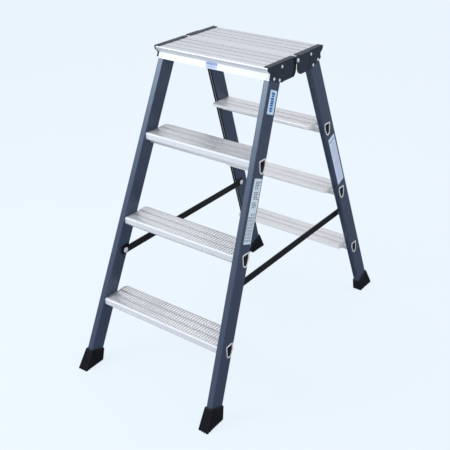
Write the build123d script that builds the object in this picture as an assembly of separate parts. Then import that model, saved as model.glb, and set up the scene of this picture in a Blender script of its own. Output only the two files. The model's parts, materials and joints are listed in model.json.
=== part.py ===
"""Double-sided folding platform step: two ladder frames hinged at the middle of a split platform.

Millimetres, +Z up, front is -Y. Shapes are drawn for the front right quarter and mirrored.
"""
import math
import os

from build123d import *

# ---------------------------------------------------------------- driving dimensions
PLATFORM_Z = 940.0        # standing height of the platform
LEAN = 21.45              # stile lean from vertical, towards the middle, degrees
SPLAY = 3.4               # stile lean from vertical, sideways, degrees
FACE_TOP_Y = 113.5        # climbing face to the middle plane, at platform height
WEB_TOP_X = 188.0         # outer web to the middle plane, at platform height

STILE_W = 53.0            # web width
STILE_T = 20.0            # flange width
STILE_WALL = 2.0
STILE_R = 3.5
STILE_TOP_Z = 917.0       # level cut under the platform
STILE_FOOT_Z = 27.4       # height of the square cut at the climbing face

TREAD_Z = (219.0, 460.0, 701.0)
TREAD_SET = 2.0           # nosing behind the climbing face
TREAD_DEEP = 94.0
TREAD_SKIN = 3.0
NOSE_H = 20.0
NOSE_R = 5.0
REAR_LIP = 8.0
TREAD_CORNER_R = 10.0
TUBE_TOP = 2.5            # tread surface to the top of the chamber
TUBE_WALL = 2.2
BEAD = 2.5                # rim rolled over outside the web
BEAD_T = 2.1

PANEL_DEEP = 139.0        # seam to nosing
PANEL_X = 189.1
SEAM = 0.3                # half the gap at the seam
PANEL_SKIN = 3.0
PANEL_GROOVES = (-29.0, -58.0, -87.0, -116.5)
GROOVE_W = 5.0
PANEL_BASE_Z = 917.4
APRON_T = 3.0
APRON_Z = (903.5, 920.6)
APRON_X = 189.0

PIN_Z = 929.5             # fold hinge
PIN_R = 4.0
CHEEK_T = 3.0
CHEEK_X = 189.8           # inner face of the front cheeks
OUTER_CHEEK_X = 193.1     # inner face of the rear cheeks round the hinge
CHEEK_TOP_T = 1.8
CHEEK_TOP_IN = 177.0      # inner edge of the folded top flange
JOGGLE_Y = 65.0

BRACE_Z = 352.8
BRACE_H = 22.0
BRACE_X = (196.0, 199.4)
BRACE_END = 11.0          # bar past each pivot
BRACE_REAR_B = 41.2       # rear pivot behind the rear climbing face
BRACE_FRONT_B = 34.6      # front stud behind the front climbing face
CATCH_T = 2.3
CATCH_Y = (-316.0, -288.0)
CATCH_Z = (337.0, 367.0)
CATCH_RIVETS = ((43.5, 9.5), (43.5, -10.5))   # behind the climbing face, up the stile
STUD_R = 3.7
SLOT_R = 4.2
SLOT_RISE = 12.9          # slot slope towards the climbing face, degrees

FOOT_TOP = 35.0           # top of the shoe above the stile's cut end, along the stile
FOOT_RIM = (4.5, 4.0, 2.5)     # wall at the rim: sides, front, back
FOOT_FLARE = (0.055, 0.115, 0.155)   # growth of each wall per mm down the stile

TAN_LEAN = math.tan(math.radians(LEAN))
TAN_SPLAY = math.tan(math.radians(SPLAY))
COS_LEAN = math.cos(math.radians(LEAN))
FLANGE_X = STILE_T * math.hypot(1.0, TAN_SPLAY)


def face_y(z):
    """Distance of the climbing face from the middle plane at a height."""
    return FACE_TOP_Y + (PLATFORM_Z - z) * TAN_LEAN


def web_x(z):
    """Distance of the outer web from the middle plane at a height."""
    return WEB_TOP_X + (PLATFORM_Z - z) * TAN_SPLAY


def stile_plane(z):
    """Front right stile: x out of the web, y from the climbing face inwards, z up the stile."""
    return Plane(
        origin=(web_x(z), -face_y(z), z),
        x_dir=(1, 0, TAN_SPLAY),
        z_dir=(-TAN_SPLAY, TAN_LEAN, 1),
    )


def prism_x(points, x0, x1):
    """Outline given as (y, z) points, extruded along X."""
    face = make_face(Polyline(*[(0, y, z) for y, z in points], close=True))
    return Pos(x0, 0, 0) * extrude(face, x1 - x0, dir=(1, 0, 0))


def rod_x(radius, x0, x1, y, z):
    """Cylinder along X."""
    body = Cylinder(radius, x1 - x0, rotation=(0, 90, 0))
    return Pos((x0 + x1) / 2, y, z) * body


def block(x0, x1, y0, y1, z0, z1):
    return Pos((x0 + x1) / 2, (y0 + y1) / 2, (z0 + z1) / 2) * Box(x1 - x0, y1 - y0, z1 - z0)


def web_slab(near, far, z=600.0):
    """Thick sheet parallel to the front right web, between two depths out of the web."""
    return stile_plane(z) * Pos((near + far) / 2, 0, 0) * Box(far - near, 3000, 3000)


def dome(radius, height, x, y, z):
    """Low rivet head standing on a plane x = const, pointing along +X."""
    head = Cylinder(radius, height, rotation=(0, 90, 0))
    head = chamfer(head.faces().sort_by(Axis.X)[-1].edges(), height * 0.6)
    return Pos(x + height / 2, y, z) * head


def to_left(shape):
    return mirror(shape, about=Plane.YZ)


def to_rear(shape):
    return mirror(shape, about=Plane.XZ)


def save(shape, name):
    export_step(shape, f"parts/{name}.step")


# ---------------------------------------------------------------- positions shared by the parts
def tube_outline(z, grow=0.0):
    """Chamber outline under a tread: flat top, upright front, rear swept along the stile."""
    y = -face_y(z)
    top = z - TUBE_TOP
    corners = [
        (y + 20, top),
        (y + 46.5, top),
        (y + 45.0, top - 16),
        (y + 35.0, top - 36),
        (y + 20, top - 36),
    ]
    face = make_face(Polyline(*[(0, a, b) for a, b in corners], close=True))
    radii = (1.5, 1.5, 12.0, 9.0, 9.0)
    for (a, b), radius in zip(corners, radii):
        near = face.vertices().sort_by_distance((0, a, b))[0]
        face = fillet(near, radius)
    if grow:
        face = offset(face, grow)
    return face


def tube_prism(z, grow, x0, x1):
    return Pos(x0, 0, 0) * extrude(tube_outline(z, grow).face(), x1 - x0, dir=(1, 0, 0))


def behind(b, z):
    """World y of a point b mm behind the front climbing face, measured square to the stile."""
    return -(face_y(z) - b / COS_LEAN)


BRACE_REAR_Y = -behind(BRACE_REAR_B, BRACE_Z)
BRACE_FRONT_Y = behind(BRACE_FRONT_B, BRACE_Z)
CHEEK_RIVETS = ((-113.0, 905.4), (-87.0, 895.8))
PANEL_RIVET = (-74.0, 929.5)
RIVET_R = 2.4
RIVET_HEAD_R = 4.4
APRON_SCREW = (180.0, 911.5)


# ---------------------------------------------------------------- stiles
def stile(rear):
    tube = RectangleRounded(STILE_T, STILE_W, STILE_R)
    tube -= RectangleRounded(
        STILE_T - 2 * STILE_WALL, STILE_W - 2 * STILE_WALL, STILE_R - STILE_WALL
    )
    centre = stile_plane(STILE_FOOT_Z) * Pos(-STILE_T / 2, STILE_W / 2, 0)
    body = centre * extrude(tube, 1000)
    body -= block(0, 400, -400, 200, STILE_TOP_Z, STILE_TOP_Z + 200)
    for z in TREAD_Z:
        body -= tube_prism(z, 0.08, 150, 300)
    for y, z in CHEEK_RIVETS:
        body -= rod_x(RIVET_R + 0.05, 183, 200, y, z)
    x, z = APRON_SCREW
    y = -face_y(z)
    body -= Pos(x, y, z) * Rot(90 - LEAN, 0, 0) * Cylinder(2.05, 12)
    if rear:
        body -= rod_x(4.02, 190, 212, -BRACE_REAR_Y, BRACE_Z)
    else:
        for point in CATCH_RIVETS:
            body -= stile_plane(BRACE_Z) * Pos(-STILE_T, *point) * Rot(0, 90, 0) * Cylinder(2.55, 12)
    return body


# ---------------------------------------------------------------- treads
def tread(z):
    """Grooved deck with nosing, rear lip and a chamber whose ends are rolled over outside the webs."""
    y = -face_y(z) + TREAD_SET
    back = y + TREAD_DEEP
    inner = web_x(z) - FLANGE_X
    deck = prism_x([(y, z), (back, z), (back, z - TREAD_SKIN), (y, z - TREAD_SKIN)], -300, 300)
    nose = prism_x(
        [(y, z), (y + 9, z), (y + 4, z - 5), (y + 3, z - NOSE_H), (y + 0.6, z - NOSE_H), (y, z - 14)],
        -300, 300,
    )
    lip = block(-300, 300, back - 2.6, back, z - REAR_LIP, z)
    body = deck + nose + lip
    front_top = body.edges().filter_by(Axis.X).sort_by_distance((0, y, z))[0]
    body = fillet(front_top, NOSE_R - 0.6)
    for groove in (y + 10.5, y + 34.0, y + 63.0):
        body -= block(-300, 300, groove - 1.2, groove + 1.2, z - 1.2, z + 1)
    plan_x = inner + 1.3
    plan = Pos(0, (y - 40 + back) / 2, z - 20) * Box(2 * plan_x, TREAD_DEEP + 40, 60)
    for side in (-1, 1):
        corner = plan.edges().filter_by(Axis.Z).sort_by_distance((side * plan_x, back, z))[0]
        plan = fillet(corner, TREAD_CORNER_R)
    body &= plan
    gap = 0.06
    cutter = web_slab(-STILE_T - gap, 100)
    body = body - cutter - to_left(cutter)
    tube = tube_prism(z, 0, -300, 300) - tube_prism(z, -TUBE_WALL, -301, 301)
    bead = tube_prism(z, BEAD, -300, 300) - tube_prism(z, -TUBE_WALL, -301, 301)
    outside = web_slab(BEAD_T, 200)
    under_web = web_slab(-400, 0.03)
    tube = tube - outside - to_left(outside)
    right_rim = bead - outside - under_web - block(-301, 0, -600, 600, 0, 1000)
    return body + tube + right_rim + to_left(right_rim)


# ---------------------------------------------------------------- platform
def panel():
    """Half platform: hollow ribbed extrusion, cantilevered thin towards the seam."""
    outer = [
        (-SEAM, PLATFORM_Z), (-PANEL_DEEP, PLATFORM_Z), (-PANEL_DEEP, 932), (-126, 921),
        (-119.5, 921), (-119.5, PANEL_BASE_Z), (-14, PANEL_BASE_Z), (-14, PLATFORM_Z - PANEL_SKIN),
        (-SEAM, PLATFORM_Z - PANEL_SKIN),
    ]
    body = prism_x(outer, -PANEL_X, PANEL_X)
    nose = body.edges().filter_by(Axis.X).sort_by_distance((0, -PANEL_DEEP, PLATFORM_Z))[0]
    body = fillet(nose, 4)
    top = PLATFORM_Z - PANEL_SKIN
    base = PANEL_BASE_Z + 2.2
    for y0, y1 in ((-39, -16.4), (-66.5, -41.2), (-96, -81.5), (-117.2, -98.2)):
        body -= block(-200, 200, y0, y1, base, top)
    body -= prism_x([(-119.6, top), (-135.5, top), (-135.5, 933.4), (-124.5, 923.2), (-119.6, 923.2)],
                    -200, 200)
    for y in PANEL_GROOVES:
        body -= block(-200, 200, y - GROOVE_W / 2, y + GROOVE_W / 2, PLATFORM_Z - 1.2, PLATFORM_Z + 1)
    y, z = PANEL_RIVET
    body -= rod_x(RIVET_R + 0.02, -200, 200, y, z)
    return body


def apron():
    """Front valance, parallel to the climbing faces and screwed to both stiles."""
    low, high = APRON_Z
    points = [
        (-face_y(high), high), (-face_y(high) - APRON_T, high),
        (-face_y(low) - APRON_T, low), (-face_y(low), low),
    ]
    body = prism_x(points, -APRON_X, APRON_X)
    lip = prism_x([(-face_y(low) - 1, low), (-face_y(low) + 9, low),
                   (-face_y(low) + 9, low + 2.4), (-face_y(low + 2.4) - 1, low + 2.4)], -167.5, 167.5)
    body += lip
    x, z = APRON_SCREW
    for side in (-1, 1):
        body -= Pos(side * x, -face_y(z), z) * Rot(90 - LEAN, 0, 0) * Cylinder(2.05, 20)
    return body


def apron_screws():
    x, z = APRON_SCREW
    face = Pos(x, -face_y(z), z) * Rot(90 - LEAN, 0, 0)
    shank = face * Pos(0, 0, -2) * Cylinder(2.0, 10.2)
    head = chamfer(Cylinder(4.6, 2).faces().sort_by(Axis.Z)[-1].edges(), 1.1)
    head = face * Pos(0, 0, APRON_T + 1.05) * head
    one = shank + head
    return Compound(children=[one, to_left(one)])


# ---------------------------------------------------------------- cheeks and fold hinge
def cheek_outline(edge_y):
    """Side view of a front cheek; edge_y is where its lower part stops at the seam."""
    low = 887.0
    radius = 22.0
    points = [
        (-PANEL_DEEP - 0.6, PLATFORM_Z + CHEEK_TOP_T), (-PANEL_DEEP - 0.6, 931.6), (-127, 920.8),
        (-131.4, 907.4), (-77.5, low), (edge_y, low), (edge_y, PLATFORM_Z + CHEEK_TOP_T),
    ]
    body = prism_x(points, 0, 40)
    corner = body.edges().filter_by(Axis.X).sort_by_distance((0, edge_y, low))[0]
    return fillet(corner, radius)


def cheek(rear):
    """Hinge side plate with a top flange over the panel end; drawn on the front right."""
    edge_y = -0.6 if rear else -4.5
    hinge_x = OUTER_CHEEK_X if rear else CHEEK_X
    flange_y = -7.5 if rear else -8.0
    shape = Pos(170, 0, 0) * cheek_outline(edge_y)
    upper = shape & block(CHEEK_X, CHEEK_X + CHEEK_T, -200, -JOGGLE_Y, 916.4, 1000)
    lower = shape & web_slab(0.06, CHEEK_T) & block(150, 230, -200, -JOGGLE_Y, 800, 918)
    hinge = shape & block(hinge_x, hinge_x + CHEEK_T, -JOGGLE_Y - 1, 0, 800, PLATFORM_Z - 0.6)
    step = shape & block(CHEEK_X, hinge_x + CHEEK_T, -JOGGLE_Y + 0.2, -JOGGLE_Y + 3.8, 800, 1000)
    ear = rod_x(10.0, hinge_x, hinge_x + CHEEK_T, 0, PIN_Z)
    bridge = block(hinge_x, hinge_x + CHEEK_T, edge_y - 8, 0, PIN_Z - 9, PIN_Z + 9)
    body = upper + lower + hinge + step + ear + bridge
    top0 = PLATFORM_Z + 0.02
    top1 = PLATFORM_Z + CHEEK_TOP_T
    body += block(CHEEK_TOP_IN, CHEEK_X + CHEEK_T, -PANEL_DEEP + 1.5, flange_y, top0, top1)
    body += block(CHEEK_X, CHEEK_X + CHEEK_T, -PANEL_DEEP, -JOGGLE_Y, PLATFORM_Z - 2, top1)
    body += block(hinge_x, hinge_x + CHEEK_T, -JOGGLE_Y, flange_y - 6, PLATFORM_Z - 2, top1)
    if rear:
        body += block(CHEEK_X, hinge_x + CHEEK_T, -JOGGLE_Y, flange_y, top0, top1)
    for y, z in CHEEK_RIVETS + (PANEL_RIVET,):
        body -= rod_x(RIVET_R + 0.05, 180, 200, y, z)
    body -= rod_x(PIN_R + (0.05 if rear else 0.02), 180, 200, 0, PIN_Z)
    return body


def cheek_rivets():
    """Two rivets through the stile web and one into the panel's rivet channel."""
    solids = []
    for y, z in CHEEK_RIVETS:
        outer = web_x(z) + CHEEK_T + 0.35
        shank = rod_x(RIVET_R, web_x(z) - 3.0, outer + 0.1, y, z)
        tail = rod_x(3.8, web_x(z) - 4.2, web_x(z) - STILE_WALL - 0.4, y, z)
        solids.append(shank + tail + dome(RIVET_HEAD_R, 1.8, outer, y, z))
    y, z = PANEL_RIVET
    outer = CHEEK_X + CHEEK_T + 0.02
    solids.append(rod_x(RIVET_R, outer - 22, outer + 0.1, y, z) + dome(RIVET_HEAD_R, 1.8, outer, y, z))
    return Compound(children=solids)


def hinge_pin():
    outer = OUTER_CHEEK_X + CHEEK_T + 0.15
    shank = rod_x(PIN_R, 187.4, outer + 0.1, 0, PIN_Z)
    inner_head = rod_x(6.8, 187.3, CHEEK_X - 0.03, 0, PIN_Z)
    return shank + inner_head + dome(5.6, 2.6, outer, 0, PIN_Z)


# ---------------------------------------------------------------- feet
def shoe_section(down):
    """Outline of the shoe at a distance down the stile from its rim."""
    side, front, back = (rim + flare * down for rim, flare in zip(FOOT_RIM, FOOT_FLARE))
    outline = RectangleRounded(STILE_T + 2 * side, STILE_W + front + back, 4.5)
    return Pos(-STILE_T / 2, (STILE_W + back - front) / 2, FOOT_TOP - down) * outline


def foot():
    """Flared plastic shoe with an outer wall, a plug inside the tube and a level sole."""
    base = stile_plane(STILE_FOOT_Z)
    body = loft([shoe_section(100), shoe_section(0)])
    rim = body.faces().sort_by(Axis.Z)[-1].edges()
    body = base * chamfer(rim, 1.2)
    body -= block(100, 400, -700, 0, -100, 0)
    clear = 0.05
    room = RectangleRounded(STILE_T + 2 * clear, STILE_W + 2 * clear, STILE_R)
    plug = RectangleRounded(
        STILE_T - 2 * STILE_WALL - 2 * clear, STILE_W - 2 * STILE_WALL - 2 * clear, 1.4
    )
    socket = base * Pos(-STILE_T / 2, STILE_W / 2, 0)
    body -= socket * extrude(room - plug, 200)
    body -= socket * Pos(0, 0, 25) * extrude(plug, 200)
    return body


# ---------------------------------------------------------------- spreader bars
def brace_bar():
    """Flat bar from the rear pivot to the front stud."""
    x0, x1 = BRACE_X
    half = BRACE_H / 2
    y0, y1 = BRACE_FRONT_Y - BRACE_END, BRACE_REAR_Y + BRACE_END
    body = block(x0, x1, y0, y1, BRACE_Z - half, BRACE_Z + half)
    body = fillet(body.edges().filter_by(Axis.X), 3)
    body -= rod_x(4.05, x0 - 1, x1 + 1, BRACE_REAR_Y, BRACE_Z)
    body -= rod_x(STUD_R + 0.02, x0 - 1, x1 + 1, BRACE_FRONT_Y, BRACE_Z)
    return body


def brace_stud():
    """Headed stud fixed in the bar; its end sits in the catch plate's slot."""
    x0, x1 = BRACE_X
    shank = rod_x(STUD_R, x0 - 0.1, 201.8, BRACE_FRONT_Y, BRACE_Z)
    head = to_left(dome(8.2, 3.0, -x0 + 0.02, BRACE_FRONT_Y, BRACE_Z))
    return shank + head


def brace_pivot():
    """Rivet through the bar, a spacer and the stile's inner wall."""
    x0, x1 = BRACE_X
    wall_x = web_x(BRACE_Z) - FLANGE_X + STILE_WALL
    shank = rod_x(4.0, x0 - 0.2, wall_x + 1.5, BRACE_REAR_Y, BRACE_Z)
    tail = rod_x(6.0, wall_x + 0.5, wall_x + 2.2, BRACE_REAR_Y, BRACE_Z)
    head = to_left(dome(8.2, 3.0, -x0 + 0.15, BRACE_REAR_Y, BRACE_Z))
    return shank + tail + head


def brace_spacer():
    x1 = BRACE_X[1]
    body = rod_x(8.5, x1 + 0.15, 208, BRACE_REAR_Y, BRACE_Z)
    body -= rod_x(4.02, 190, 210, BRACE_REAR_Y, BRACE_Z)
    return body - to_rear(web_slab(-STILE_T - 0.02, 100))


def catch_plate():
    """Plate on the front stile's inner face, slotted from the stud towards the climbing face."""
    plate = block(190, 215, *CATCH_Y, *CATCH_Z)
    plate = fillet(plate.edges().filter_by(Axis.X), 2)
    body = plate & web_slab(-STILE_T - CATCH_T - 0.02, -STILE_T - 0.02)
    for point in CATCH_RIVETS:
        body -= stile_plane(BRACE_Z) * Pos(-STILE_T, *point) * Rot(0, 90, 0) * Cylinder(2.55, 12)
    slot = Box(40, 60, 2 * SLOT_R)
    slot = Pos(0, -30, 0) * slot
    slot = Pos(200, BRACE_FRONT_Y, BRACE_Z) * Rot(-SLOT_RISE, 0, 0) * slot
    return body - slot - rod_x(SLOT_R, 180, 220, BRACE_FRONT_Y, BRACE_Z)


def catch_rivets():
    """Countersunk rivets, flush with the catch plate."""
    solids = []
    for point in CATCH_RIVETS:
        shank = Pos(-STILE_T - CATCH_T, *point) * Rot(0, 90, 0) * Cylinder(2.5, 12)
        shank -= Pos(-STILE_T - CATCH_T - 10, *point) * Box(20, 20, 20)
        tail = Pos(-STILE_T + STILE_WALL + 0.85, *point) * Rot(0, 90, 0) * Cylinder(3.8, 1.6)
        solids.append(stile_plane(BRACE_Z) * (shank + tail))
    return Compound(children=solids)


# ---------------------------------------------------------------- labels
def web_label(z, b0, b1, length):
    """Thin sticker on the outer web, its top edge at height z on the climbing side."""
    sheet = Pos(0.16, (b0 + b1) / 2, -length / 2) * Box(0.3, b1 - b0, length)
    return stile_plane(z) * sheet


def apron_label():
    z = 912.0
    sheet = Box(38, 0.3, 12.5)
    place = Pos(-1, -face_y(z) - (APRON_T + 0.17) / COS_LEAN, z) * Rot(-LEAN, 0, 0)
    return place * sheet


# ---------------------------------------------------------------- files
os.makedirs("parts", exist_ok=True)

front_stile = stile(False)
rear_stile = to_rear(stile(True))
save(front_stile, "front_right_stile")
save(to_left(front_stile), "front_left_stile")
save(rear_stile, "rear_right_stile")
save(to_left(rear_stile), "rear_left_stile")

for number, height in enumerate(TREAD_Z, start=1):
    step = tread(height)
    save(step, f"front_tread_{number}")
    save(to_rear(step), f"rear_tread_{number}")

half_platform = panel()
valance = apron()
valance_screws = apron_screws()
save(half_platform, "front_platform_panel")
save(to_rear(half_platform), "rear_platform_panel")
save(valance, "front_apron")
save(to_rear(valance), "rear_apron")
save(valance_screws, "front_apron_screws")
save(to_rear(valance_screws), "rear_apron_screws")

front_cheek = cheek(False)
rear_cheek = to_rear(cheek(True))
front_rivets = cheek_rivets()
rear_rivets = to_rear(front_rivets)
pin = hinge_pin()
save(front_cheek, "front_right_cheek")
save(to_left(front_cheek), "front_left_cheek")
save(rear_cheek, "rear_right_cheek")
save(to_left(rear_cheek), "rear_left_cheek")
save(front_rivets, "front_right_cheek_rivets")
save(to_left(front_rivets), "front_left_cheek_rivets")
save(rear_rivets, "rear_right_cheek_rivets")
save(to_left(rear_rivets), "rear_left_cheek_rivets")
save(pin, "right_hinge_pin")
save(to_left(pin), "left_hinge_pin")

shoe = foot()
save(shoe, "front_right_foot")
save(to_left(shoe), "front_left_foot")
save(to_rear(shoe), "rear_right_foot")
save(to_left(to_rear(shoe)), "rear_left_foot")

for name, maker in (
    ("spreader_bar", brace_bar),
    ("spreader_stud", brace_stud),
    ("spreader_pivot", brace_pivot),
    ("spreader_spacer", brace_spacer),
    ("catch_plate", catch_plate),
    ("catch_rivets", catch_rivets),
):
    shape = maker()
    save(shape, f"right_{name}")
    save(to_left(shape), f"left_{name}")

save(web_label(884.0, 12.5, 45.0, 64), "front_right_size_label")
save(web_label(664.0, 11.0, 47.0, 181), "front_right_use_label")
save(to_rear(web_label(658.0, 9.0, 45.0, 182)), "rear_right_use_label")
save(apron_label(), "front_apron_label")
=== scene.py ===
"""Looks of the double-sided folding platform step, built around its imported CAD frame.

Metres, +Z up, front is -Y. MM turns the CAD's millimetres into metres.
"""

import json
import math

import bmesh
import bpy
from mathutils import Matrix, Vector


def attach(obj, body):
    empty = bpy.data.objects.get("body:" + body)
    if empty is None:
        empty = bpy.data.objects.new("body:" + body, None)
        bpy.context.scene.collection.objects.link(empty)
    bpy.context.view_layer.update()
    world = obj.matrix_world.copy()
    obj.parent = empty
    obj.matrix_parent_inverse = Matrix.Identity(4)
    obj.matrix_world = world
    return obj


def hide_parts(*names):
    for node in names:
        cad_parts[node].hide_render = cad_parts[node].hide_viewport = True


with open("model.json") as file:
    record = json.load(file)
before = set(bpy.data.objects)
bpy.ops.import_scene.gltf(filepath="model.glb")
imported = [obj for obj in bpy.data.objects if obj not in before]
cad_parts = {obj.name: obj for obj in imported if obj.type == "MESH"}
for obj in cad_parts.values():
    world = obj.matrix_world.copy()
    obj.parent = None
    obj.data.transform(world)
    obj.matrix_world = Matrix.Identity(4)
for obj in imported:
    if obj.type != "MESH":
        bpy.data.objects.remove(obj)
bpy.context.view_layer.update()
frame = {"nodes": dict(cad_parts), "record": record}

MM = 0.001

# ---------------------------------------------------------------- sizes shared with the CAD, mm
PLATFORM_Z = 940.0
TAN_LEAN = math.tan(math.radians(21.45))
COS_LEAN = math.cos(math.radians(21.45))
TAN_SPLAY = math.tan(math.radians(3.4))
FACE_TOP_Y = 113.5
WEB_TOP_X = 188.0
STILE_T = 20.0
TREAD_Z = (219.0, 460.0, 701.0)
TREAD_SET = 2.0


def face_y(z):
    return FACE_TOP_Y + (PLATFORM_Z - z) * TAN_LEAN


def web_x(z):
    return WEB_TOP_X + (PLATFORM_Z - z) * TAN_SPLAY


# ---------------------------------------------------------------- mesh helpers
def piece(name, bm, material, body):
    """Mesh object in millimetre coordinates, scaled to metres, riding on a CAD body."""
    bmesh.ops.scale(bm, vec=(MM, MM, MM), verts=bm.verts)
    bmesh.ops.recalc_face_normals(bm, faces=bm.faces)
    mesh = bpy.data.meshes.new(name)
    bm.to_mesh(mesh)
    bm.free()
    obj = bpy.data.objects.new(name, mesh)
    bpy.context.scene.collection.objects.link(obj)
    mesh.materials.append(material)
    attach(obj, body)
    return obj


# Corner numbers of a bar's faces: bottom, top, -Y, +X, +Y and -X.
BAR_FACES = ((3, 2, 1, 0), (4, 5, 6, 7), (0, 1, 5, 4), (1, 2, 6, 5), (2, 3, 7, 6), (3, 0, 4, 7))
BAR_X_FACES = (3, 5)


def add_bar(bm, low, high, matrix=None, taper=(0.0, 0.0), side_material=0):
    """Closed six-sided bar between two corners; its +Z face is narrower by taper along X and Y.

    side_material is the material number of the two faces across X.
    """
    x0, y0, z0 = low
    x1, y1, z1 = high
    corners = [
        (x0, y0, z0), (x1, y0, z0), (x1, y1, z0), (x0, y1, z0),
        (x0 + taper[0], y0 + taper[1], z1), (x1 - taper[0], y0 + taper[1], z1),
        (x1 - taper[0], y1 - taper[1], z1), (x0 + taper[0], y1 - taper[1], z1),
    ]
    if matrix is not None:
        corners = [matrix @ Vector(c) for c in corners]
    verts = [bm.verts.new(c) for c in corners]
    for number, loop in enumerate(BAR_FACES):
        face = bm.faces.new([verts[i] for i in loop])
        face.material_index = side_material if number in BAR_X_FACES else 0


# ---------------------------------------------------------------- materials
def nodes_of(name):
    """New material, its node tree and its shader."""
    material = bpy.data.materials.new(name)
    material.use_nodes = True
    tree = material.node_tree
    shader = tree.nodes["Principled BSDF"]
    return material, tree, shader


NOISE_DETAIL = 4.0
NOISE_ROUGH = 0.55


def noise(tree, scale, stretch):
    """Noise in the object's own coordinates."""
    coords = tree.nodes.new("ShaderNodeTexCoord")
    mapping = tree.nodes.new("ShaderNodeMapping")
    mapping.inputs["Scale"].default_value = stretch
    tree.links.new(coords.outputs["Object"], mapping.inputs["Vector"])
    tex = tree.nodes.new("ShaderNodeTexNoise")
    tex.inputs["Scale"].default_value = scale
    tex.inputs["Detail"].default_value = NOISE_DETAIL
    tex.inputs["Roughness"].default_value = NOISE_ROUGH
    tree.links.new(mapping.outputs["Vector"], tex.inputs["Vector"])
    return tex.outputs["Fac"]


# Noise values lie mostly between these two.
NOISE_LOW = 0.3
NOISE_HIGH = 0.7


def ramp(tree, value, dark, light):
    """Colour from dark to light over the noise's usual range."""
    node = tree.nodes.new("ShaderNodeValToRGB")
    node.color_ramp.elements[0].position = NOISE_LOW
    node.color_ramp.elements[0].color = (*dark, 1)
    node.color_ramp.elements[1].position = NOISE_HIGH
    node.color_ramp.elements[1].color = (*light, 1)
    tree.links.new(value, node.inputs["Fac"])
    return node.outputs["Color"]


def spread(tree, value, low, high):
    """Value from low to high over the noise's usual range."""
    node = tree.nodes.new("ShaderNodeMapRange")
    node.inputs["From Min"].default_value = NOISE_LOW
    node.inputs["From Max"].default_value = NOISE_HIGH
    node.inputs["To Min"].default_value = low
    node.inputs["To Max"].default_value = high
    tree.links.new(value, node.inputs["Value"])
    return node.outputs["Result"]


def bump(tree, shader, value, distance):
    node = tree.nodes.new("ShaderNodeBump")
    node.inputs["Strength"].default_value = 0.5
    node.inputs["Distance"].default_value = distance
    tree.links.new(value, node.inputs["Height"])
    tree.links.new(node.outputs["Normal"], shader.inputs["Normal"])


def finish_of(name, dark, light, rough, metallic, tint, grain, grain_depth,
              specular=0.5, sheen=(1, 1, 1)):
    """Material whose colour runs from dark to light and whose roughness varies, both by noise.

    tint and grain are (scale, stretch) of the colour noise and of the surface noise.
    """
    material, tree, shader = nodes_of(name)
    shader.inputs["Specular Tint"].default_value = (*sheen, 1)
    shader.inputs["Metallic"].default_value = metallic
    shader.inputs["Specular IOR Level"].default_value = specular
    cloud = noise(tree, *tint)
    tree.links.new(ramp(tree, cloud, dark, light), shader.inputs["Base Color"])
    fine = noise(tree, *grain)
    tree.links.new(spread(tree, fine, *rough), shader.inputs["Roughness"])
    bump(tree, shader, fine, grain_depth)
    return material


EVEN = (1, 1, 1)
ALONG_X = (0.03, 1, 1)

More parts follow.
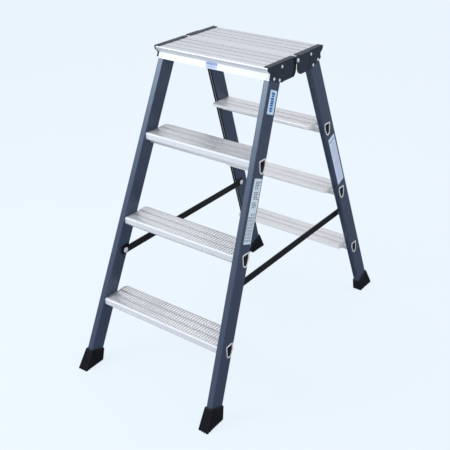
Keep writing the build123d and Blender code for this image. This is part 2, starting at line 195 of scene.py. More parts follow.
looks = {
    "stile_paint": finish_of(
        "stile_paint", (0.028, 0.044, 0.086), (0.034, 0.051, 0.097), (0.34, 0.44), 0.10,
        (9, EVEN), (900, EVEN), 0.00003, 1.0, (0.80, 0.92, 1.0)),
    "tread_aluminium": finish_of(
        "tread_aluminium", (0.86, 0.86, 0.88), (0.90, 0.90, 0.91), (0.24, 0.32), 0.52,
        (14, ALONG_X), (1200, ALONG_X), 0.00001),
    # Painted shade: darker aluminium in the treads' grooves and on the sides of their ribs.
    "groove_shade": finish_of(
        "groove_shade", (0.44, 0.45, 0.48), (0.52, 0.53, 0.56), (0.45, 0.60), 0.6,
        (14, ALONG_X), (1200, ALONG_X), 0.00003),
    # Darker copy of the tread aluminium for the nosing: painted shade.
    "nosing_shaded_aluminium": finish_of(
        "nosing_shaded_aluminium", (0.70, 0.71, 0.75), (0.76, 0.77, 0.81), (0.60, 0.70), 0.45,
        (14, ALONG_X), (1200, ALONG_X), 0.00001),
    "recess_aluminium": finish_of(
        "recess_aluminium", (0.74, 0.75, 0.78), (0.80, 0.81, 0.84), (0.40, 0.50), 0.30,
        (14, ALONG_X), (1200, ALONG_X), 0.00001),
    # Painted shade: darker aluminium on the flat deck between the ribs.
    "rib_valley_shade": finish_of(
        "rib_valley_shade", (0.44, 0.45, 0.48), (0.5, 0.51, 0.54), (0.38, 0.5), 0.5,
        (14, ALONG_X), (1200, ALONG_X), 0.00001),
    # Painted shade inside the treads' chamber tubes.
    "chamber_shade": finish_of(
        "chamber_shade", (0.055, 0.060, 0.075), (0.085, 0.090, 0.105), (0.55, 0.70), 0.4,
        (30, EVEN), (900, EVEN), 0.00003),
    "platform_aluminium": finish_of(
        "platform_aluminium", (0.56, 0.57, 0.61), (0.62, 0.63, 0.67), (0.34, 0.44), 0.65,
        (14, ALONG_X), (1200, ALONG_X), 0.000008),
    "apron_aluminium": finish_of(
        "apron_aluminium", (0.56, 0.56, 0.57), (0.61, 0.61, 0.62), (0.45, 0.52), 0.30,
        (10, ALONG_X), (1200, ALONG_X), 0.00002),
    # Painted shade in the platform's grooves.
    "deck_groove_shade": finish_of(
        "deck_groove_shade", (0.24, 0.25, 0.28), (0.30, 0.31, 0.34), (0.45, 0.60), 0.5,
        (14, ALONG_X), (1200, ALONG_X), 0.00003),
    "film_blue": finish_of(
        "film_blue", (0.50, 0.68, 0.88), (0.58, 0.75, 0.93), (0.30, 0.40), 0.0,
        (60, EVEN), (1500, EVEN), 0.00001, 0.3),
    "film_silver": finish_of(
        "film_silver", (0.60, 0.70, 0.78), (0.67, 0.76, 0.84), (0.30, 0.40), 0.0,
        (60, EVEN), (1500, EVEN), 0.00001, 0.3),
    "film_soft": finish_of(
        "film_soft", (0.50, 0.56, 0.72), (0.56, 0.62, 0.78), (0.45, 0.55), 0.0,
        (60, EVEN), (1500, EVEN), 0.00001, 0.1),
    "film_white": finish_of(
        "film_white", (0.58, 0.65, 0.82), (0.66, 0.73, 0.90), (0.30, 0.40), 0.0,
        (60, EVEN), (1500, EVEN), 0.00001, 0.3),
    "ink_blue": finish_of(
        "ink_blue", (0.008, 0.10, 0.32), (0.015, 0.13, 0.38), (0.35, 0.45), 0.0,
        (60, EVEN), (1500, EVEN), 0.00001, 0.3),
    "ink_soft": finish_of(
        "ink_soft", (0.26, 0.31, 0.52), (0.30, 0.36, 0.57), (0.45, 0.55), 0.0,
        (60, EVEN), (1500, EVEN), 0.00001, 0.1),
    "ink_pale": finish_of(
        "ink_pale", (0.28, 0.33, 0.50), (0.33, 0.38, 0.55), (0.35, 0.45), 0.0,
        (60, EVEN), (1500, EVEN), 0.00001, 0.3),
    "ink_dark": finish_of(
        "ink_dark", (0.04, 0.06, 0.09), (0.07, 0.09, 0.12), (0.35, 0.45), 0.0,
        (60, EVEN), (1500, EVEN), 0.00001, 0.3),
    "cheek_paint": finish_of(
        "cheek_paint", (0.017, 0.024, 0.042), (0.022, 0.030, 0.050), (0.38, 0.50), 0.0,
        (12, EVEN), (800, EVEN), 0.00004, 0.18),
    "foot_plastic": finish_of(
        "foot_plastic", (0.0015, 0.002, 0.005), (0.003, 0.004, 0.008), (0.30, 0.42), 0.0,
        (25, EVEN), (700, EVEN), 0.00003, 0.30),
    # Also used as painted shade: strips on the stiles' inner flanges, the front cheeks' edges and the rear
    # cheeks' joggle lines.
    "black_paint": finish_of(
        "black_paint", (0.006, 0.007, 0.010), (0.009, 0.010, 0.014), (0.45, 0.58), 0.0,
        (15, EVEN), (900, EVEN), 0.00004, 0.2),
    # Darker copy of the stile paint: painted shade on the right stiles' inner flanges.
    "stile_shade": finish_of(
        "stile_shade", (0.020, 0.031, 0.062), (0.025, 0.037, 0.070), (0.34, 0.44), 0.10,
        (9, EVEN), (900, EVEN), 0.00003, 0.8, (0.80, 0.92, 1.0)),
    # Painted highlight: the light line on the left stiles' inner flanges.
    "flange_highlight": finish_of(
        "flange_highlight", (0.34, 0.35, 0.38), (0.40, 0.41, 0.44), (0.45, 0.55), 0.2,
        (30, EVEN), (900, EVEN), 0.00002),
    "bright_steel": finish_of(
        "bright_steel", (0.80, 0.81, 0.83), (0.90, 0.91, 0.92), (0.26, 0.36), 0.45,
        (90, EVEN), (1500, EVEN), 0.00002),
}

# Nodes whose look isn't that of their material slot: four labels, and rivets under the stiles' paint.
NODE_LOOKS = {
    "front_right_size_label": "film_blue",
    "front_right_use_label": "film_silver",
    "rear_right_use_label": "film_white",
    "front_apron_label": "film_soft",
    "left_catch_rivets": "stile_paint",
    "right_catch_rivets": "stile_paint",
}

for row in frame["record"]["subparts"]:
    node = frame["nodes"][row["node"]]
    look = NODE_LOOKS.get(row["node"], row["material_slot"])
    node.data.materials.clear()
    node.data.materials.append(looks[look])

# ---------------------------------------------------------------- outlines
CORNER_STEPS = 5
SMALLEST_R = 0.15


def rounded(corners, radii, grow):
    """Convex outline (counter-clockwise or clockwise) with rounded corners, grown outwards."""
    count = len(corners)
    area = sum(
        corners[i - 1][0] * corners[i][1] - corners[i][0] * corners[i - 1][1] for i in range(count)
    )
    turn = 1 if area > 0 else -1
    lines = []
    for i in range(count):
        p, q = Vector(corners[i]), Vector(corners[(i + 1) % count])
        along = (q - p).normalized()
        out = Vector((along.y, -along.x)) * turn
        lines.append((p + out * grow, along))
    points = []
    for i in range(count):
        (p, d), (q, e) = lines[i - 1], lines[i]
        cross = d.x * e.y - d.y * e.x
        t = ((q - p).x * e.y - (q - p).y * e.x) / cross
        corner = p + d * t
        radius = max(radii[i] + grow, SMALLEST_R)
        half = math.atan2(abs(cross), d.dot(e)) / 2
        reach = radius * math.tan(half)
        start = corner - d * reach
        centre = start + Vector((-d.y, d.x)) * turn * radius
        spoke = start - centre
        for k in range(CORNER_STEPS + 1):
            a = turn * 2 * half * k / CORNER_STEPS
            c, n = math.cos(a), math.sin(a)
            points.append(centre + Vector((spoke.x * c - spoke.y * n, spoke.x * n + spoke.y * c)))
    return points


def bridge(bm, rings, material=0):
    """Quads between neighbouring rings of equal length; each ring is a closed loop of vertices."""
    for first, second in zip(rings, rings[1:]):
        for i in range(len(first)):
            face = bm.faces.new((first[i - 1], first[i], second[i], second[i - 1]))
            face.material_index = material


def ring(bm, points):
    return [bm.verts.new(p) for p in points]


def cap(bm, loop):
    """Flat lid over one loop of vertices."""
    edges = [bm.edges.get((loop[i - 1], loop[i])) for i in range(len(loop))]
    bmesh.ops.triangle_fill(bm, use_beauty=True, use_dissolve=True, edges=edges)


def smooth(obj, angle=35):
    """Smooth shading, with edges sharper than the angle in degrees kept."""
    for face in obj.data.polygons:
        face.use_smooth = True
    obj.data.set_sharp_from_angle(angle=math.radians(angle))


# ---------------------------------------------------------------- treads
ARC_STEPS = 6              # sides of each round stretch of a section
RIB_PITCH = 9.0
RIB_WIDE = 6.0
RIB_HIGH = 0.25
RIB_BANDS = ((7.0, 30.6), (37.4, 59.6), (66.4, 91.4))    # from and to, behind the nosing
RIB_TAPER = (0.4, 2.0)
RIB_SUNK = 0.1
RIB_FROM_STILE = 1.5
RIB_FROM_BACK = 2.6
CORNER_R = 10.0
TREAD_DEEP = 94.0
NOSE_R = 4.5
NOSE_H = 20.0
NOSE_LINE = 13.7           # fine line along the nosing, below the top
NOSE_BACK = 6.5            # where the ribbed top starts
LIP_H = 8.0
LIP_T = 2.4
SKIN = 3.0
DECK_GAP = 0.1             # between the deck and the stile
DECK_BEND = 66.0           # the deck behind this is drawn in to round its rear corners
GROOVES = ((34.0, 5.4, 1.2), (63.0, 5.4, 1.2))    # behind the nosing, wide, deep
CHAMBER = ((20, 0), (46.5, 0), (45.0, -16), (35.0, -36), (20, -36))
CHAMBER_R = (1.5, 1.5, 12.0, 9.0, 9.0)
CHAMBER_WALL = 2.2
CHAMBER_TOP = 2.5
CHAMBER_SHADE_START = -25         # where the painted shade inside the tube starts, out of the web
WEB_GAP = 0.05
# The rolled rim: distance out of the web, and growth of the chamber's outline.
RIM = ((0.05, 1.2), (0.2, 2.2), (0.9, 2.5), (1.6, 2.2), (2.1, 1.2), (2.1, 0.0), (1.7, -1.2), (1.0, -2.0))


# A tread's materials, in the order of their numbers.
TREAD_LOOKS = ("tread_aluminium", "groove_shade", "chamber_shade", "rib_valley_shade", "nosing_shaded_aluminium")
IN_GROOVE_SHADE, IN_CHAMBER_SHADE, IN_VALLEY_SHADE, ON_SHADED_NOSING = 1, 2, 3, 4


def add_grooves(points, grooves):
    """Adds half-round grooves to a section, and returns the number of each one's first point."""
    starts = []
    for at, wide, deep in grooves:
        starts.append(len(points))
        for k in range(ARC_STEPS + 1):
            a = math.pi * k / ARC_STEPS
            points.append((at - wide / 2 * math.cos(a), -deep * math.sin(a)))
    return starts


def in_groove(behind, profile, starts):
    return any(profile[first][0] < behind < profile[first + ARC_STEPS][0] for first in starts)


def deck_profile():
    """Section of the deck, (behind the nosing, height), and where its grooves start in it."""
    points = [(SKIN, -NOSE_H), (0.6, -NOSE_H), (0.0, -NOSE_H + 1.0)]
    points += [(0.0, -NOSE_LINE - 0.5), (0.5, -NOSE_LINE), (0.0, -NOSE_LINE + 0.5)]
    for k in range(ARC_STEPS + 1):
        a = math.pi / 2 * k / ARC_STEPS
        points.append((NOSE_R * (1 - math.cos(a)), -NOSE_R * (1 - math.sin(a))))
    points.append((NOSE_BACK, 0.0))
    starts = add_grooves(points, GROOVES)
    points += [(TREAD_DEEP - 1.0, 0.0), (TREAD_DEEP - 0.3, -0.3), (TREAD_DEEP, -1.0)]
    points += [(TREAD_DEEP, -LIP_H + 0.6), (TREAD_DEEP - 0.6, -LIP_H), (TREAD_DEEP - LIP_T, -LIP_H)]
    points += [(TREAD_DEEP - LIP_T, -SKIN), (9.0, -SKIN), (4.0, -6.0)]
    return points, starts


def corner_cut(over):
    """How far a rounded rear corner draws the deck in, at a distance past the start of its arc."""
    return CORNER_R - math.sqrt(CORNER_R ** 2 - over ** 2)


def deck(bm, z):
    profile, starts = deck_profile()
    nose = -face_y(z) + TREAD_SET
    insets = [0.0, 0.8]
    insets += [CORNER_R * (1 - math.cos(math.pi / 2 * k / ARC_STEPS)) for k in range(1, ARC_STEPS + 1)]
    rings = []
    for side in (-1, 1):
        part = []
        for inset in sorted(insets):
            stretch = (TREAD_DEEP - corner_cut(CORNER_R - inset) - DECK_BEND) / (TREAD_DEEP - DECK_BEND)
            points = []
            for b, h in profile:
                if b > DECK_BEND:
                    b = DECK_BEND + (b - DECK_BEND) * stretch
                x = side * (web_x(z + h) - STILE_T - DECK_GAP - inset)
                points.append((x, nose + b, z + h))
            part.append(ring(bm, points))
        rings += part if side < 0 else part[::-1]
    bridge(bm, rings)
    for face in bm.faces:
        middle = face.calc_center_median()
        behind = middle.y - nose
        # The nosing takes a darker copy of the tread aluminium: painted shade.
        if behind < NOSE_BACK:
            face.material_index = ON_SHADED_NOSING
        # The flat deck between the ribs takes painted shade.
        elif middle.z > z - 0.01 and behind < TREAD_DEEP - 1.5:
            face.material_index = IN_VALLEY_SHADE
        # The grooves take painted shade.
        elif middle.z > z - 2.0 and in_groove(behind, profile, starts):
            face.material_index = IN_GROOVE_SHADE
    cap(bm, rings[0])
    cap(bm, rings[-1])


def chamber(bm, z):
    """Closed tube through both webs, its ends rolled over outside them."""
    nose = -face_y(z)
    top = z - CHAMBER_TOP
    corners = [(nose + b, top + h) for b, h in CHAMBER]

    def at(side, out, grow):
        points = rounded(corners, CHAMBER_R, grow)
        return ring(bm, [(side * (web_x(h) + out), y, h) for y, h in points])

    outer = [at(1, out, grow) for out, grow in RIM]
    other = [at(-1, out, grow) for out, grow in RIM]
    inside = [at(side, CHAMBER_SHADE_START, -CHAMBER_WALL) for side in (1, -1)]
    bridge(bm, [other[0], at(-1, WEB_GAP, 0.0), at(1, WEB_GAP, 0.0), outer[0]])
    bridge(bm, outer)
    bridge(bm, other)
    # The inside of the tube takes painted shade.
    bridge(bm, [outer[-1], *inside, other[-1]], IN_CHAMBER_SHADE)


def ribs(bm, z):
    """Low bars across the deck, shorter where its rear corners are rounded."""
    nose = -face_y(z) + TREAD_SET
    end = web_x(z) - STILE_T - RIB_FROM_STILE
    count = int((end - RIB_WIDE) // RIB_PITCH)
    for i in range(-count, count + 1):
        x = i * RIB_PITCH
        cut = corner_cut(max(0.0, abs(x) + RIB_WIDE / 2 - (end - CORNER_R)))
        for start, stop in RIB_BANDS:
            stop = min(stop, TREAD_DEEP - RIB_FROM_BACK - cut)
            low = (x - RIB_WIDE / 2, nose + start, z - RIB_SUNK)
            high = (x + RIB_WIDE / 2, nose + stop, z + RIB_HIGH)
            # The ribs' sides take the grooves' painted shade.
            add_bar(bm, low, high, taper=RIB_TAPER, side_material=IN_GROOVE_SHADE)


def add_looks(obj, names):
    """The looks after an object's first one."""
    for name in names[1:]:
        obj.data.materials.append(looks[name])


for side in ("front", "rear"):
    for number, z in enumerate(TREAD_Z, start=1):
        bm = bmesh.new()
        deck(bm, z)
        chamber(bm, z)
        ribs(bm, z)
        if side == "rear":
            bmesh.ops.scale(bm, vec=(1, -1, 1), verts=bm.verts)
        name = f"{side}_step_{number}"
        obj = piece(name, bm, looks["tread_aluminium"], f"{side}_frame")
        add_looks(obj, TREAD_LOOKS)
        smooth(obj)
        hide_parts(f"{side}_tread_{number}")

# ---------------------------------------------------------------- platform panels
PANEL_X = 189.1
PANEL_DEEP = 139.0
PANEL_NOSE_R = 3.5
PANEL_GROOVES = ((29.0, 4.4, 1.2), (58.0, 4.4, 1.2), (87.0, 4.4, 1.2), (116.5, 4.4, 1.2))   # as GROOVES
SEAM = 0.3                 # half the gap at the middle
RECESS_TOP = 8.1           # the recess over the apron: below the top, and from the seam
RECESS_BACK = 120.0
PANEL_LOOKS = ("platform_aluminium", "deck_groove_shade", "recess_aluminium")
IN_RECESS = 2


def panel_profile():
    """Section of half the platform, (from the seam, height), and where its grooves start in it."""
    points = [(SEAM, -SKIN), (SEAM, -0.8), (SEAM + 0.8, 0.0)]
    starts = add_grooves(points, PANEL_GROOVES)
    for k in range(ARC_STEPS + 1):
        a = math.pi / 2 * k / ARC_STEPS
        points.append((PANEL_DEEP - PANEL_NOSE_R * (1 - math.sin(a)), -PANEL_NOSE_R * (1 - math.cos(a))))
    front = [(PANEL_DEEP, -4.6), (PANEL_DEEP - 0.4, -5.0), (PANEL_DEEP, -5.4)]
    front += [(PANEL_DEEP, -7.2), (PANEL_DEEP - 0.8, -8.0)]
    recess = [(133.4, -12.4), (133.2, -11.6), (132.6, -12.1), (126.6, -18.4), (126.0, -19.0)]
    under = [(119.5, -19.0), (119.5, -22.6), (14.0, -22.6), (14.0, -SKIN)]
    return points + front + recess + under, starts


def panel(bm):
    profile, starts = panel_profile()
    rings = []
    for x in (-PANEL_X, PANEL_X):
        rings.append(ring(bm, [(x, -b, PLATFORM_Z + h) for b, h in profile]))
    bridge(bm, rings)
    for face in bm.faces:
        middle = face.calc_center_median()
        # The grooves take painted shade.
        if middle.z > PLATFORM_Z - 2.5 and in_groove(-middle.y, profile, starts):
            face.material_index = IN_GROOVE_SHADE
        if middle.z < PLATFORM_Z - RECESS_TOP and middle.y < -RECESS_BACK:
            face.material_index = IN_RECESS
    cap(bm, rings[0])
    cap(bm, rings[1])


for side in ("front", "rear"):
    bm = bmesh.new()
    panel(bm)
    if side == "rear":
        bmesh.ops.scale(bm, vec=(1, -1, 1), verts=bm.verts)
    name = f"{side}_deck_panel"
    obj = piece(name, bm, looks["platform_aluminium"], f"{side}_frame")
    add_looks(obj, PANEL_LOOKS)
    smooth(obj)
    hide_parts(f"{side}_platform_panel")


# ---------------------------------------------------------------- stile frame of reference
def stile_matrix(z, left=False, rear=False):
    """x out of the web, y from the climbing face inwards, z up the stile; mm."""
    out = Vector((1, 0, TAN_SPLAY)).normalized()
    up = Vector((-TAN_SPLAY, TAN_LEAN, 1)).normalized()
    back = up.cross(out)
    place = Matrix((out, back, up)).transposed().to_4x4()
    place.translation = (web_x(z), -face_y(z), z)
    flip = Matrix.Diagonal((-1 if left else 1, -1 if rear else 1, 1, 1))
    return flip @ place


# ---------------------------------------------------------------- feet
STILE_W = 53.0
STILE_FOOT_Z = 27.4
FOOT_TOP = 35.0
FOOT_RIM = (4.0, 3.8, 2.4)
FOOT_FLARE = (0.054, 0.113, 0.153)
SHOE_R = 4.5
SHOE_BAND = 4.4            # plain band under the rim; the flutes are at full depth 1.2 below it
SHOE_BEVEL = 0.9
HEEL_Z = 2.5
SOLE_Z = 0.05
FLUTES = 8                 # on each side
END_FLUTES = 3
FLUTE_DEEP = 1.4
FLUTE_STEPS = ((0.24, 0.0), (0.34, FLUTE_DEEP), (0.66, FLUTE_DEEP), (0.76, 0.0))   # place, depth
COLLAR_GAP = 0.25
COLLAR_DEEP = 8.0


def shoe_outline(down, grow=0.0, fluted=False):
    """Shoe outline at a distance below its rim, from one front corner round to the other."""
    side, front, back = (rim + flare * down + grow for rim, flare in zip(FOOT_RIM, FOOT_FLARE))
    x0, x1 = -STILE_T - side, side
    y0, y1 = -front, STILE_W + back
    ax, bx = x0 + SHOE_R, x1 - SHOE_R
    ay, by = y0 + SHOE_R, y1 - SHOE_R
    points = []

    def corner(cx, cy, start):
        for k in range(5):
            a = math.radians(start + 90 * k / 4)
            points.append((cx + SHOE_R * math.cos(a), cy + SHOE_R * math.sin(a)))

    def edge(p, q, inward, count):
        """Straight side with shallow flat-bottomed grooves."""
        for k in range(count):
            for part, dip in FLUTE_STEPS:
                point = Vector(p).lerp(Vector(q), (k + part) / count)
                points.append(tuple(point + Vector(inward) * (dip if fluted else 0.0)))

    corner(ax, ay, 180)
    edge((ax, y0), (bx, y0), (0, 1), END_FLUTES)
    corner(bx, ay, 270)
    edge((x1, ay), (x1, by), (-1, 0), FLUTES)
    corner(bx, by, 0)
    edge((bx, y1), (ax, y1), (0, -1), END_FLUTES)
    corner(ax, by, 90)
    edge((x0, by), (x0, ay), (1, 0), FLUTES)
    return points


def collar():
    """Mouth of the shoe round the stile, point for point with the outer outline."""
    return [
        (max(-STILE_T - COLLAR_GAP, min(COLLAR_GAP, x)), max(-COLLAR_GAP, min(STILE_W + COLLAR_GAP, y)))
        for x, y in shoe_outline(0)
    ]


def shoe(bm, place):
    """Shoe round a stile's lower end, from its mouth over the rim down to the sole."""

    def level(down, grow=0.0, fluted=False):
        return [place @ Vector((x, y, FOOT_TOP - down)) for x, y in shoe_outline(down, grow, fluted)]

    def cut(z):
        """Outline where the fluted sides reach a height above the floor."""
        return [p.lerp(q, (p.z - z) / (p.z - q.z)) for p, q in zip(fluted_top, below_floor)]

    fluted_top = level(SHOE_BAND + 1.2, fluted=True)
    below_floor = level(100.0, fluted=True)
    middle = place @ Vector((-STILE_T / 2, STILE_W / 2, -20))
    sole = [
        p + Vector((middle.x - p.x, middle.y - p.y, 0)).normalized() * SHOE_BEVEL for p in cut(SOLE_Z)
    ]
    mouth = [[place @ Vector((x, y, FOOT_TOP - down)) for x, y in collar()] for down in (COLLAR_DEEP, 0)]
    outside = [level(0.0, -SHOE_BEVEL), level(SHOE_BEVEL), level(SHOE_BAND), fluted_top, cut(HEEL_Z), sole]
    rings = [ring(bm, points) for points in mouth + outside]
    bridge(bm, rings)
    cap(bm, rings[0])
    cap(bm, rings[-1])


for rear in (False, True):
    for left in (False, True):
        bm = bmesh.new()
        shoe(bm, stile_matrix(STILE_FOOT_Z, left, rear))
        end, hand = "rear" if rear else "front", "left" if left else "right"
        obj = piece(f"{end}_{hand}_shoe", bm, looks["foot_plastic"], f"{end}_frame")
        smooth(obj, 30)
        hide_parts(f"{end}_{hand}_foot")


# ---------------------------------------------------------------- printing on the labels
PRINT = (0.26, 0.34)       # from and to, out of the web


def marks(name, boxes, place, material, body):
    """Thin printed blocks, each (from, to, down from, down to) on a label whose top is at place."""
    bm = bmesh.new()
    for start, stop, top, bottom in boxes:
        add_bar(bm, (PRINT[0], start, -bottom), (PRINT[1], stop, -top), place)
    piece(name, bm, looks[material], body)


# Lengths of the small label's blocks, and the gap after each.
SIZE_BLOCKS = ((5, 2), (4, 3), (5, 2), (4, 1.6), (4, 1.6), (4, 3), (5, 2), (4, 0))


def size_marks():
    """Row of plain blocks of uneven width down the middle of the small label."""
    boxes = []
    top = 6.0
    for k, (long, gap) in enumerate(SIZE_BLOCKS):
        boxes.append((20.5 + (k % 2), 36.0 - (k % 3) * 0.8, top, top + long + 0.6))
        top += long + gap
    return boxes


LINE_GROUPS = ((8, 5), (36, 5), (64, 4))      # start, lines
LINE_PITCH = 4.6
LINE_H = 2.4
FIELD_ROWS = 9
FIELD_COLUMNS = 3
FIELD_PITCH = (10.9, 9.1)
FIELD_AT = (13.2, 96.0)


def notice_lines():
    """Three groups of lines, each broken once."""
    boxes = []
    for group, (start, rows) in enumerate(LINE_GROUPS):
        for k in range(rows):
            top = start + LINE_PITCH * k
            wide = 25 - (k * 7 + group * 5) % 11
            gap = 20.0 + wide * 0.35
            boxes.append((20.0, gap, top, top + LINE_H))
            boxes.append((gap + 2.5, 18.0 + wide, top, top + LINE_H))
    return boxes


def notice_field(left, top, lean):
    """Small field: two framing strokes and two bars inside, whose places shift with lean."""
    low, high = 3.0 + lean * 0.4, 4.4 + lean * 0.4
    return [
        (left, left + 9.4, top, top + 1.2),
        (left, left + 1.2, top + 1.2, top + 7.8),
        (left + 1.8 + lean, left + 3.4 + lean, top + 1.6, top + 6.5),
        (left + 4.6 - lean * 0.5, left + 7.4 - lean * 0.3, top + low, top + high),
    ]


def notice_marks():
    """Three groups of fine lines, then a block of small fields that lacks its first one."""
    boxes = notice_lines()
    for row in range(FIELD_ROWS):
        for column in range(FIELD_COLUMNS):
            if row + column > 0:
                left = FIELD_AT[0] + column * FIELD_PITCH[0]
                top = FIELD_AT[1] + row * FIELD_PITCH[1]
                boxes += notice_field(left, top, (row * 2 + column) % 4)
    return boxes


def table_marks():
    """Ruled lines under a header."""
    return [(12.0, 33.0 + (k * 5) % 8, 24.0 + 8.0 * k, 26.0 + 8.0 * k) for k in range(19)]


# Heights of the labels' top edges.
SIZE_LABEL_Z = 884.0
NOTICE_LABEL_Z = 664.0
TABLE_LABEL_Z = 658.0
HEADER = (11.5, 42.5, 13.0, 16.0)

table_place = stile_matrix(TABLE_LABEL_Z, rear=True)
marks("front_size_marks", size_marks(), stile_matrix(SIZE_LABEL_Z), "ink_blue", "front_frame")
marks("front_notice_marks", notice_marks(), stile_matrix(NOTICE_LABEL_Z), "ink_dark", "front_frame")
marks("rear_table_marks", table_marks(), table_place, "ink_pale", "rear_frame")
marks("rear_header_mark", [HEADER], table_place, "ink_blue", "rear_frame")

APRON_LABEL_Z = 912.0
APRON_OUT = 3.17           # the apron label's face, in front of the stiles' climbing faces
APRON_PRINT = (-0.16, -0.09)


def apron_marks():
    """A film, a band and a short row of blocks on the front apron's label."""
    up = Vector((0, TAN_LEAN, 1)).normalized()
    out = Vector((1, 0, 0))
    place = Matrix((out, up.cross(out), up)).transposed().to_4x4()
    place.translation = (-1, -face_y(APRON_LABEL_Z) - APRON_OUT / COS_LEAN, APRON_LABEL_Z)
    bm = bmesh.new()
    add_bar(bm, (-19.0, -0.10, -8.4), (19.0, 0.1, 8.6), place)
    piece("front_apron_film", bm, looks["film_soft"], "front_frame")
    front, back = APRON_PRINT
    bm = bmesh.new()
    add_bar(bm, (-18.6, front, 1.6), (18.6, back, 8.3), place)
    for k in range(5):
        left = -14 + 5.6 * k
        add_bar(bm, (left, front, -4.4), (left + 3.6, back, -1.6), place)
    piece("front_apron_marks", bm, looks["ink_soft"], "front_frame")


apron_marks()
# ---------------------------------------------------------------- inner flanges of the stiles: strips of painted shade and a painted highlight
STRIP_LOW = 82.0
STRIP_HIGH = 900.0
# Each strip from and to, out of the web, and its look on the left and on the right stiles: painted shade,
# with a painted highlight line between on the left stiles, the two sides lit differently.
FLANGE_SHADING_STRIPS = (
    (-17.4, -11.3, "black_paint", "stile_shade"),
    (-10.9, -9.7, "flange_highlight", "black_paint"),
    (-9.3, -2.6, "black_paint", "stile_shade"),
)


def flange_shading_strip(name, low, high, look, left, rear):
    """Thin strip up a stile's inner flange, painted as shade or, for the light line, as a highlight."""
    long = (STRIP_HIGH - STRIP_LOW) * math.hypot(1.0, TAN_LEAN, TAN_SPLAY)
    bm = bmesh.new()
    place = stile_matrix(STRIP_LOW, left, rear)
    add_bar(bm, (low, STILE_W - 0.05, 0.0), (high, STILE_W + 0.12, long), place)
    piece(name, bm, looks[look], "rear_frame" if rear else "front_frame")


for rear in (False, True):
    for left in (False, True):
        end, hand = "rear" if rear else "front", "left" if left else "right"
        for count, (low, high, left_look, right_look) in enumerate(FLANGE_SHADING_STRIPS, start=1):
            look = left_look if left else right_look
            flange_shading_strip(f"{end}_{hand}_flange_strip_{count}", low, high, look, left, rear)

# ---------------------------------------------------------------- cheek edges, in painted shade
CHEEK_LOW = 887.0
CHEEK_TOP = 937.5
CHEEK_EDGE = 4.5           # edge of the front cheek in front of the middle plane
CHEEK_R = 22.0
CHEEK_TURN = 78.0          # how far the rolled edge runs round the corner, degrees
CHEEK_SIDES = 8
ROLL_OUT = 4.2             # outer and inner side of the rolled edge, past the cheek's own edge
ROLL_IN = -10.5
ROLL_X = (190.0, 191.6, 192.95)
STEP_SHADOW_X = (195.9, 196.22)   # black strip painted as the shadow line where a rear cheek is joggled
STEP_SHADOW_Y = (61.4, 64.7)
STEP_SHADOW_Z = (893.0, 937.0)


def cheek_row(grow):
    """Line down the cheek's seam side and round its lower corner, grown past the cheek's edge."""
    row = [(-CHEEK_EDGE + grow, CHEEK_TOP)]
    r = CHEEK_R + grow
    for k in range(CHEEK_SIDES + 1):
        a = math.radians(CHEEK_TURN * k / CHEEK_SIDES)
        y = -CHEEK_EDGE - CHEEK_R + r * math.cos(a)
        row.append((y, CHEEK_LOW + CHEEK_R - r * math.sin(a)))
    return row


def cheek_edge_shade(bm, flip):
    """Rolled edge of a front cheek, narrower at its last section; its black is painted shade where the
    cheeks meet.
    """
    inside, middle, outside = ROLL_X
    rows = list(zip(cheek_row(ROLL_OUT), cheek_row(ROLL_IN)))
    rings = []
    for k, ((y0, z0), (y1, z1)) in enumerate(rows):
        if k == len(rows) - 1:
            y0, z0 = y1 + (y0 - y1) * 0.4, z1 + (z0 - z1) * 0.4
        corners = [
            (inside, y0, z0), (middle, y0, z0), (outside, y0 - 1.2, z0), (outside, y1, z1), (inside, y1, z1)
        ]
        rings.append(ring(bm, [(flip * x, y, max(z, CHEEK_LOW - 0.5)) for x, y, z in corners]))
    bridge(bm, rings)
    cap(bm, rings[0])
    cap(bm, rings[-1])


for hand, flip in (("right", 1), ("left", -1)):
    # Front cheek edge in black: painted shade.
    bm = bmesh.new()
    cheek_edge_shade(bm, flip)
    obj = piece(f"front_{hand}_cheek_edge_shade", bm, looks["black_paint"], "front_frame")
    smooth(obj)
    # Black strip at the rear cheek's joggle: painted shadow line.
    bm = bmesh.new()
    near, far = sorted(flip * x for x in STEP_SHADOW_X)
    add_bar(bm, (near, STEP_SHADOW_Y[0], STEP_SHADOW_Z[0]), (far, STEP_SHADOW_Y[1], STEP_SHADOW_Z[1]))
    piece(f"rear_{hand}_cheek_step_shadow", bm, looks["black_paint"], "rear_frame")

# ---------------------------------------------------------------- floor, light and camera
FLOOR_HALF = 80
FLOOR_BASE = (0.085, 0.09, 0.095)
FLOOR_GLOW = (0.83, 0.91, 0.99)
FLOOR_GLOW_STRENGTH = 0.905


def floor():
    """Pale matt floor that mirrors in nothing."""
    bm = bmesh.new()
    bmesh.ops.create_grid(bm, x_segments=1, y_segments=1, size=FLOOR_HALF)
    mesh = bpy.data.meshes.new("floor")
    bm.to_mesh(mesh)
    bm.free()
    obj = bpy.data.objects.new("floor", mesh)
    bpy.context.scene.collection.objects.link(obj)
    material, tree, shader = nodes_of("floor")
    shader.inputs["Base Color"].default_value = (*FLOOR_BASE, 1)
    shader.inputs["Roughness"].default_value = 1.0
    shader.inputs["Specular IOR Level"].default_value = 0.0
    shader.inputs["Emission Color"].default_value = (*FLOOR_GLOW, 1)
    shader.inputs["Emission Strength"].default_value = FLOOR_GLOW_STRENGTH
    mesh.materials.append(material)
    obj.visible_glossy = False


floor()

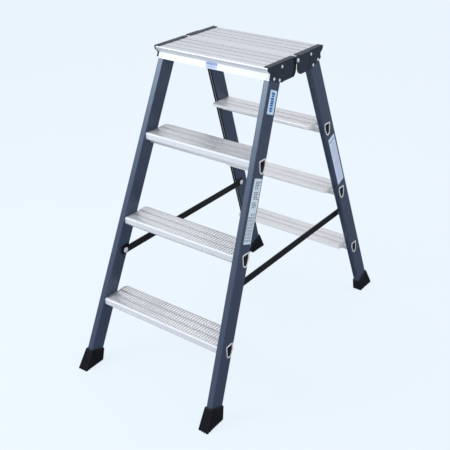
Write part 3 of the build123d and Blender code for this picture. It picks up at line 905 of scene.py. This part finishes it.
# Heights in the sky run from 0, straight down, to 1, straight up.
SKY_LOWEST = (0.10, 0.11, 0.13)
SKY_LEVELS = ((0.25, 0.15), (0.40, 0.45), (0.48, 0.45), (0.64, 0.86), (0.75, 0.98))    # height, level
SKY_TINT = (0.97, 0.99, 1.03)
SKY_STRENGTH = 0.87
SHEET_COLOUR = (0.72, 0.74, 0.78)
SHEET_LEVELS = ((0.18, 0.60), (0.27, 0.75), (0.36, 1.0), (0.46, 0.0))     # height, how much of the sheet
SHEET_FROM = -0.15         # the sheet starts and is full at these directions towards -Y
SHEET_FULL = -0.75


def sky_ramp(tree, value, stops):
    """Colour ramp through (position, colour) stops."""
    node = tree.nodes.new("ShaderNodeValToRGB")
    elements = node.color_ramp.elements
    for element, (position, colour) in zip(elements, (stops[0], stops[-1])):
        element.position = position
        element.color = (*colour, 1)
    for position, colour in stops[1:-1]:
        elements.new(position).color = (*colour, 1)
    tree.links.new(value, node.inputs["Fac"])
    return node.outputs["Color"]


def sky():
    """Pale above, dark around the horizon and behind, with a bright sheet low in front."""
    world = bpy.data.worlds.new("studio")
    bpy.context.scene.world = world
    world.use_nodes = True
    tree = world.node_tree
    coords = tree.nodes.new("ShaderNodeTexCoord")
    split = tree.nodes.new("ShaderNodeSeparateXYZ")
    tree.links.new(coords.outputs["Generated"], split.inputs["Vector"])
    height = tree.nodes.new("ShaderNodeMapRange")
    height.inputs["From Min"].default_value = -1
    tree.links.new(split.outputs["Z"], height.inputs["Value"])
    middle = [(at, [level * tint for tint in SKY_TINT]) for at, level in SKY_LEVELS]
    shade = sky_ramp(tree, height.outputs["Result"], [(0, SKY_LOWEST), *middle, (1, (1, 1, 1))])

    forward = tree.nodes.new("ShaderNodeMapRange")
    forward.inputs["From Min"].default_value = SHEET_FROM
    forward.inputs["From Max"].default_value = SHEET_FULL
    tree.links.new(split.outputs["Y"], forward.inputs["Value"])
    down = sky_ramp(tree, height.outputs["Result"], [(at, [level] * 3) for at, level in SHEET_LEVELS])
    both = tree.nodes.new("ShaderNodeMath")
    both.operation = "MULTIPLY"
    tree.links.new(forward.outputs["Result"], both.inputs[0])
    tree.links.new(down, both.inputs[1])
    sheet = tree.nodes.new("ShaderNodeMix")
    sheet.data_type = "RGBA"
    sheet.inputs["B"].default_value = (*SHEET_COLOUR, 1)
    tree.links.new(both.outputs["Value"], sheet.inputs["Factor"])
    tree.links.new(shade, sheet.inputs["A"])
    background = tree.nodes["Background"]
    tree.links.new(sheet.outputs["Result"], background.inputs["Color"])
    background.inputs["Strength"].default_value = SKY_STRENGTH


sky()


def softbox(name, at, target, size, power, colour=(1, 1, 1)):
    """Rectangular light, (wide, high) in metres, aimed at a point."""
    light = bpy.data.lights.new(name, "AREA")
    light.shape = "RECTANGLE"
    light.size, light.size_y = size
    light.energy = power
    light.color = colour
    obj = bpy.data.objects.new(name, light)
    obj.location = at
    obj.rotation_mode = "QUATERNION"
    obj.rotation_quaternion = (Vector(at) - Vector(target)).to_track_quat("Z", "Y")
    obj.visible_camera = False
    bpy.context.scene.collection.objects.link(obj)


softbox("front_box", (-1.05, -1.65, 1.75), (0, -0.1, 0.90), (1.1, 0.7), 25, (0.88, 0.95, 1.0))
softbox("top_box", (0.0, 0.8, 2.6), (0, 0, 0.6), (3.0, 2.4), 17)

# Camera: turned 36.2 degrees to the right of the front, looking down 27.7 degrees.
CAMERA_AZ = 36.196
CAMERA_EL = 27.748
CAMERA_ROLL = -0.131
CAMERA_AT = (1.26381, -1.79407, 1.52158)
CAMERA_LENS = 62.706


def camera():
    """Camera at the calibrated place, rolled about its own view."""
    data = bpy.data.cameras.new("camera")
    data.sensor_width = 36
    data.lens = CAMERA_LENS
    data.clip_end = 300
    obj = bpy.data.objects.new("camera", data)
    bpy.context.scene.collection.objects.link(obj)
    a, e, t = (math.radians(v) for v in (CAMERA_AZ, CAMERA_EL, CAMERA_ROLL))
    right = Vector((math.cos(a), math.sin(a), 0))
    back = Vector((math.sin(a) * math.cos(e), -math.cos(a) * math.cos(e), math.sin(e)))
    up = back.cross(right)
    turned = right * math.cos(t) + up * math.sin(t)
    upright = up * math.cos(t) - right * math.sin(t)
    rotation = Matrix((turned, upright, back)).transposed()
    obj.matrix_world = Matrix.Translation(CAMERA_AT) @ rotation.to_4x4()
    bpy.context.scene.camera = obj


camera()
bpy.context.scene.view_settings.view_transform = "Standard"
bpy.context.scene.view_settings.look = "None"
